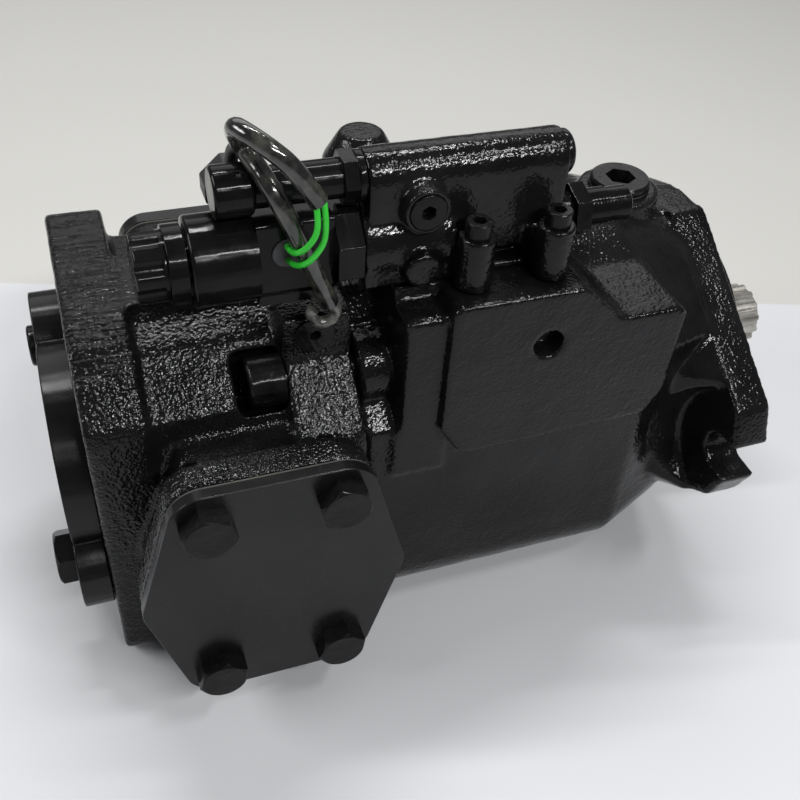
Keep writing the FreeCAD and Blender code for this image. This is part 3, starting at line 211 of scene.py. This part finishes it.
def fastener_paint(name):
    """The paint on screw heads and plugs."""
    s = Shader(name).set(IOR=1.5, Specular_IOR_Level=0.15)
    s.colour(s.blend(s.spread(s.noise(90.0, 4.0, 0.6), 0.35, 0.7), BLACK_LOW, BLACK_HIGH))
    s.roughness(s.spread(s.noise(130.0, 3.0), 0.3, 0.7, 0.14, 0.24))
    return s.bump((s.noise(160.0, 2.0), 0.00035), (s.noise(620.0, 2.0), 0.00008)).material


def turned_paint(name):
    """Painted turned steel, with the lathe's faint rings along X."""
    s = Shader(name).set(IOR=1.5, Specular_IOR_Level=0.14)
    s.colour(s.blend(s.spread(s.noise(40.0, 4.0, 0.6), 0.35, 0.7), BLACK_LOW, BLACK_HIGH))
    s.roughness(s.spread(s.noise(70.0, 3.0), 0.3, 0.7, 0.10, 0.18))
    rings = s.noise(1.0, 2.0, 0.5, s.stretched((900.0, 30.0, 30.0)))
    return s.bump((s.noise(110.0, 2.0), 0.00025), (rings, 0.00005)).material


def metal(name, dark, light, rough, grain=(30.0, 700.0, 700.0), depth=0.00006):
    """Bare metal with stains and fine scratches along one direction."""
    s = Shader(name).set(Metallic=1.0)
    s.colour(s.blend(s.spread(s.noise(120.0, 5.0, 0.65), 0.3, 0.72), dark, light))
    s.roughness(s.spread(s.noise(1.0, 3.0, 0.6, s.stretched(grain)), 0.3, 0.7, rough - 0.1, rough + 0.1))
    return s.bump((s.noise(1.0, 3.0, 0.6, s.stretched(grain)), depth)).material


def plastic(name, dark, light, rough, skin_scale=500.0, depth=0.00008):
    """Moulded plastic or rubber."""
    s = Shader(name).set(IOR=1.48)
    s.colour(s.blend(s.spread(s.noise(70.0, 4.0, 0.6), 0.3, 0.7), dark, light))
    s.roughness(s.spread(s.noise(150.0, 3.0), 0.3, 0.7, rough - 0.06, rough + 0.08))
    return s.bump((s.noise(skin_scale, 2.0), depth)).material


MATERIALS = {
    "housing": cast_paint("cast_paint_housing", 0.6),
    "port_plate": cast_paint("cast_paint_port_plate", 1.3, streak_x=SLAB_FRONT_X),
    "valve": cast_paint("cast_paint_valve", 0.45),
    "machined": machined_paint("machined_paint"),
    "turned": turned_paint("turned_paint"),
    "fastener": fastener_paint("fastener_paint"),
    "steel": metal("ground_steel", (0.30, 0.29, 0.26), (0.58, 0.56, 0.52), 0.34),
    "spring": metal("spring_steel", (0.16, 0.16, 0.17), (0.38, 0.38, 0.40), 0.35, (600.0, 60.0, 60.0)),
    "iron": metal("machined_iron", (0.14, 0.14, 0.14), (0.30, 0.30, 0.30), 0.45),
    "bronze": metal("bronze", (0.36, 0.22, 0.08), (0.62, 0.43, 0.20), 0.32),
    "rubber": plastic("seal_rubber", (0.012, 0.012, 0.012), (0.03, 0.03, 0.03), 0.55),
    "gasket": plastic("gasket_fibre", (0.02, 0.02, 0.018), (0.06, 0.058, 0.05), 0.7, 1200.0),
    "grommet": plastic("grommet_rubber", (0.018, 0.018, 0.020), (0.045, 0.045, 0.048), 0.5),
    "wire": plastic("wire_green", (0.018, 0.36, 0.02), (0.035, 0.52, 0.04), 0.3, 900.0, 0.00003),
    "plug": plastic("plug_black", (0.012, 0.012, 0.013), (0.03, 0.03, 0.032), 0.42),
}


def sleeve_material():
    """Smoky clear sleeve: dark where the wires fill it, olive and paler near its ends."""
    s = Shader("sleeve_clear").set(IOR=1.5, Coat_Weight=0.6, Coat_Roughness=0.05)
    patches = s.spread(s.noise(130.0, 4.0, 0.6), 0.42, 0.68)
    s.colour(s.blend(patches, (0.006, 0.006, 0.006), (0.055, 0.056, 0.045)))
    s.roughness(s.spread(s.noise(220.0, 3.0), 0.3, 0.7, 0.08, 0.2))
    return s.bump((s.noise(1.0, 2.0, 0.5, s.stretched((160.0, 160.0, 60.0))), 0.0007)).material


def hook_material():
    """The sleeve's curled end, pinched, in dark and pale patches at random."""
    s = Shader("sleeve_end_pale").set(IOR=1.5, Coat_Weight=0.5, Coat_Roughness=0.08)
    patches = s.spread(s.noise(260.0, 4.0, 0.6), 0.35, 0.65)
    s.colour(s.blend(patches, (0.008, 0.008, 0.008), (0.09, 0.09, 0.08)))
    s.roughness(s.spread(s.noise(300.0, 2.0), 0.3, 0.7, 0.12, 0.3))
    return s.bump((s.noise(500.0, 2.0), 0.0002)).material


MATERIALS["sleeve"] = sleeve_material()
MATERIALS["hook"] = hook_material()


# ---------------------------------------------------------------- mesh helpers
SKIN_SCALE = 0.009
SHARP_ANGLE = math.radians(35)
FLAT_ANGLE = math.radians(0.5)
WELD_DISTANCE = 1e-6


def body_of(node):
    return NODES[node]["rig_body"]


def clean_copy(node, name):
    """A copy of a CAD node's mesh with its split corners joined."""
    bm = bmesh.new()
    bm.from_mesh(NODES[node].data)
    bmesh.ops.remove_doubles(bm, verts=bm.verts, dist=WELD_DISTANCE)
    mesh = bpy.data.meshes.new(name)
    bm.to_mesh(mesh)
    bm.free()
    obj = bpy.data.objects.new(name, mesh)
    bpy.context.scene.collection.objects.link(obj)
    return obj


def bake_modifiers(obj):
    """Turn the evaluated shape into the object's own mesh."""
    bpy.context.view_layer.update()
    graph = bpy.context.evaluated_depsgraph_get()
    mesh = bpy.data.meshes.new_from_object(obj.evaluated_get(graph))
    obj.modifiers.clear()
    obj.data = mesh
    return obj


def dress(obj, material, node):
    """Give a piece its material, and let it stand for a CAD node."""
    obj.data.materials.clear()
    obj.data.materials.append(MATERIALS[material])
    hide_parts(node)
    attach(obj, body_of(node))
    return obj


def casting(node, material, voxel, rounds, skin):
    """Remeshed casting: every corner rounded, every inside corner filled, skin slightly uneven.

    voxel is the remesh size, rounds the smoothing passes, skin the depth of the unevenness.
    """
    obj = clean_copy(node, node + "_cast")
    remesh = obj.modifiers.new("remesh", "REMESH")
    remesh.mode = "VOXEL"
    remesh.voxel_size = voxel
    smooth = obj.modifiers.new("smooth", "SMOOTH")
    smooth.factor = 0.5
    smooth.iterations = rounds
    texture = bpy.data.textures.new(node + "_skin", "CLOUDS")
    texture.noise_scale = SKIN_SCALE
    texture.noise_depth = 2
    uneven = obj.modifiers.new("uneven", "DISPLACE")
    uneven.texture = texture
    uneven.texture_coords = "LOCAL"
    uneven.strength = skin
    uneven.mid_level = 1.0
    bake_modifiers(obj)
    obj.data.shade_smooth()
    return dress(obj, material, node)


def bevelled(node, material, width):
    """Machined or forged piece with a small round on every sharp edge."""
    obj = clean_copy(node, node + "_piece")
    bm = bmesh.new()
    bm.from_mesh(obj.data)
    bmesh.ops.dissolve_limit(bm, angle_limit=FLAT_ANGLE, verts=bm.verts, edges=bm.edges)
    bm.to_mesh(obj.data)
    bm.free()
    bevel = obj.modifiers.new("bevel", "BEVEL")
    bevel.width = width
    bevel.segments = 2
    bevel.limit_method = "ANGLE"
    bevel.angle_limit = SHARP_ANGLE
    bevel.use_clamp_overlap = True
    obj.data.shade_smooth()
    weighted = obj.modifiers.new("weighted", "WEIGHTED_NORMAL")
    weighted.weight = 100
    weighted.thresh = 0.0
    bake_modifiers(obj)
    return dress(obj, material, node)


# ---------------------------------------------------------------- pieces
casting("housing", "housing", 0.00135, 9, 0.00035)
casting("port_plate", "port_plate", 0.00135, 8, 0.0005)
casting("valve_body", "valve", 0.0009, 9, 0.0003)

for node in ("suction_cover", "pressure_cover", "end_cover"):
    bevelled(node, "machined", 0.0007)
for node in ("suction_bolts", "pressure_bolts", "joint_screws", "valve_screws", "end_cover_bolt",
             "end_cover_screw"):
    bevelled(node, "fastener", 0.0005)
for node in ("upper_sleeve", "upper_screw", "right_nut", "right_screw", "end_plug", "coil_ring", "coil_nut",
             "solenoid_tube"):
    bevelled(node, "turned", 0.0004)
for node in ("drain_plug", "lug_plug", "port_plug"):
    bevelled(node, "fastener", 0.0004)
bevelled("coil", "turned", 0.0006)
bevelled("drive_shaft", "steel", 0.0003)
bevelled("grommet", "grommet", 0.0004)
bevelled("cable_plug", "plug", 0.0005)
bevelled("sleeve_hook", "hook", 0.0002)

# nodes out of sight keep their CAD shape and only get a material
INSIDE = {
    "steel": ["front_bearing_outer", "front_bearing_inner", "rear_bearing_outer", "rear_bearing_inner",
              "pistons", "retainer_plate", "retainer_guide", "swashplate", "control_piston", "bias_piston",
              "upper_spool", "lower_spool", "upper_seat", "lower_seat", "armature"],
    "spring": ["block_spring", "bias_spring", "upper_spring", "lower_spring"],
    "iron": ["cylinder_block"],
    "bronze": ["slippers", "valve_plate", "cradle_bearings"],
    "rubber": ["shaft_seal", "seal_ring"],
    "gasket": ["suction_seal", "pressure_seal", "drain_seal"],
}
for material, names in INSIDE.items():
    for node in names:
        NODES[node].data.materials.clear()
        NODES[node].data.materials.append(MATERIALS[material])


# ---------------------------------------------------------------- cable
SLEEVE_R = 0.0035
WIRE_R = 0.0011
SLEEVE_ROUTE = [
    (-0.1920, -0.0565, 0.0924), (-0.1971, -0.0575, 0.1055), (-0.2020, -0.0575, 0.1192),
    (-0.2073, -0.0570, 0.1314), (-0.2116, -0.0540, 0.1407), (-0.2146, -0.0460, 0.1455),
    (-0.2182, -0.0385, 0.1499), (-0.2221, -0.0460, 0.1608), (-0.2193, -0.0540, 0.1618),
    (-0.2130, -0.0590, 0.1582), (-0.2054, -0.0620, 0.1516), (-0.1978, -0.0620, 0.1387),
]
WIRE_UPPER_ROUTE = [
    (-0.2060, -0.0508, 0.1157), (-0.2065, -0.0600, 0.1178), (-0.2023, -0.0645, 0.1226),
    (-0.1978, -0.0645, 0.1300), (-0.1988, -0.0620, 0.1381),
]
WIRE_LOWER_ROUTE = [
    (-0.2057, -0.0508, 0.1097), (-0.2049, -0.0590, 0.1116), (-0.2003, -0.0645, 0.1178),
    (-0.1950, -0.0652, 0.1275), (-0.1962, -0.0620, 0.1393),
]


def cable(name, route, radius, material, node):
    """A smooth round cable through the route's points."""
    curve = bpy.data.curves.new(name, "CURVE")
    curve.dimensions = "3D"
    spline = curve.splines.new("NURBS")
    spline.points.add(len(route) - 1)
    for point, place in zip(spline.points, route):
        point.co = (*place, 1.0)
    spline.order_u = 3
    spline.use_endpoint_u = True
    curve.resolution_u = 12
    curve.bevel_depth = radius
    curve.bevel_resolution = 5
    curve.use_fill_caps = True
    obj = bpy.data.objects.new(name, curve)
    bpy.context.scene.collection.objects.link(obj)
    curve.materials.append(MATERIALS[material])
    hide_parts(node)
    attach(obj, ROOT)
    return obj


sleeve = cable("sleeve", SLEEVE_ROUTE, SLEEVE_R, "sleeve", "cable_sleeve")
wire_upper = cable("green_wire_upper", WIRE_UPPER_ROUTE, WIRE_R, "wire", "wire_upper")
wire_lower = cable("green_wire_lower", WIRE_LOWER_ROUTE, WIRE_R, "wire", "wire_lower")


# ---------------------------------------------------------------- floor, light and camera
WALL_LINE = ((-0.325, 0.2509), (0.1944, 0.0904))
WALL_BLUR = 0.0012
FLOOR_HALF = 3.0
PUMP_MIDDLE = (-0.17, 0.0, 0.0)


def floor_material():
    """Pale bench, slightly darker beyond the line where the wall begins."""
    s = Shader("floor_pale").set(Roughness=0.6)
    (ax, ay), (bx, by) = WALL_LINE
    slope = (by - ay) / (bx - ax)
    beyond = s.math("SUBTRACT", s.axis("Y"), s.math("MULTIPLY", s.axis("X"), slope))
    level = ay - slope * ax
    wall = s.spread(beyond, level - WALL_BLUR, level + WALL_BLUR)
    mottle = s.noise(3.0, 3.0, 0.5)
    bench = s.blend(mottle, (0.49, 0.495, 0.51), (0.51, 0.515, 0.53))
    backing = s.blend(mottle, (0.43, 0.425, 0.405), (0.455, 0.45, 0.43))
    s.colour(s.blend(wall, bench, backing))
    return s.material


def floor():
    bm = bmesh.new()
    bmesh.ops.create_grid(bm, x_segments=8, y_segments=8, size=FLOOR_HALF)
    mesh = bpy.data.meshes.new("floor")
    bm.to_mesh(mesh)
    bm.free()
    obj = bpy.data.objects.new("floor", mesh)
    obj.location.z = FLOOR_Z
    mesh.materials.append(floor_material())
    bpy.context.scene.collection.objects.link(obj)


def soft_light(name, place, target, size, power):
    """Area light at place, turned towards target; size is its width and height."""
    lamp = bpy.data.lights.new(name, "AREA")
    lamp.shape = "RECTANGLE"
    lamp.size, lamp.size_y = size
    lamp.energy = power
    obj = bpy.data.objects.new(name, lamp)
    obj.location = place
    obj.rotation_euler = (Vector(target) - Vector(place)).to_track_quat("-Z", "Y").to_euler()
    bpy.context.scene.collection.objects.link(obj)


def world():
    """Dim even surround, with a pale grey backdrop for the camera."""
    backdrop = bpy.data.worlds.new("studio")
    backdrop.use_nodes = True
    tree = backdrop.node_tree
    around = tree.nodes["Background"]
    around.inputs["Color"].default_value = (0.96, 0.98, 1.0, 1.0)
    around.inputs["Strength"].default_value = 0.17
    seen = tree.nodes.new("ShaderNodeBackground")
    seen.inputs["Color"].default_value = (0.70, 0.70, 0.68, 1.0)
    path = tree.nodes.new("ShaderNodeLightPath")
    mix = tree.nodes.new("ShaderNodeMixShader")
    tree.links.new(path.outputs["Is Camera Ray"], mix.inputs["Fac"])
    tree.links.new(around.outputs["Background"], mix.inputs[1])
    tree.links.new(seen.outputs["Background"], mix.inputs[2])
    tree.links.new(mix.outputs["Shader"], tree.nodes["World Output"].inputs["Surface"])
    bpy.context.scene.world = backdrop


def camera():
    """View from the suction side, above the rear end."""
    data = bpy.data.cameras.new("camera")
    data.lens = 44.98
    data.sensor_width = 36.0
    data.clip_start = 0.01
    obj = bpy.data.objects.new("camera", data)
    turn = Matrix(((0.94188, 0.17812, -0.28486),
                   (-0.33039, 0.64481, -0.68925),
                   (0.06091, 0.74330, 0.66618)))
    place = Matrix.Translation((-0.278034, -0.339936, 0.311241))
    obj.matrix_world = place @ turn.to_4x4()
    bpy.context.scene.collection.objects.link(obj)
    bpy.context.scene.camera = obj


floor()
world()
soft_light("front", (0.21, -1.05, 1.05), PUMP_MIDDLE, (0.75, 0.06), 15.5)
soft_light("right", (0.40, -0.45, 1.15), (0.0, 0.0, 0.0), (0.40, 0.06), 4.0)
soft_light("left", (-1.25, 0.15, 0.75), (-0.2, 0.0, 0.0), (0.7, 0.35), 8.5)
soft_light("overhead", (-0.06, 0.48, 1.42), PUMP_MIDDLE, (1.0, 0.05), 15.0)
soft_light("rear", (0.1, 1.25, 1.05), PUMP_MIDDLE, (1.8, 0.8), 5.5)
camera()
bpy.context.scene.view_settings.view_transform = "Standard"
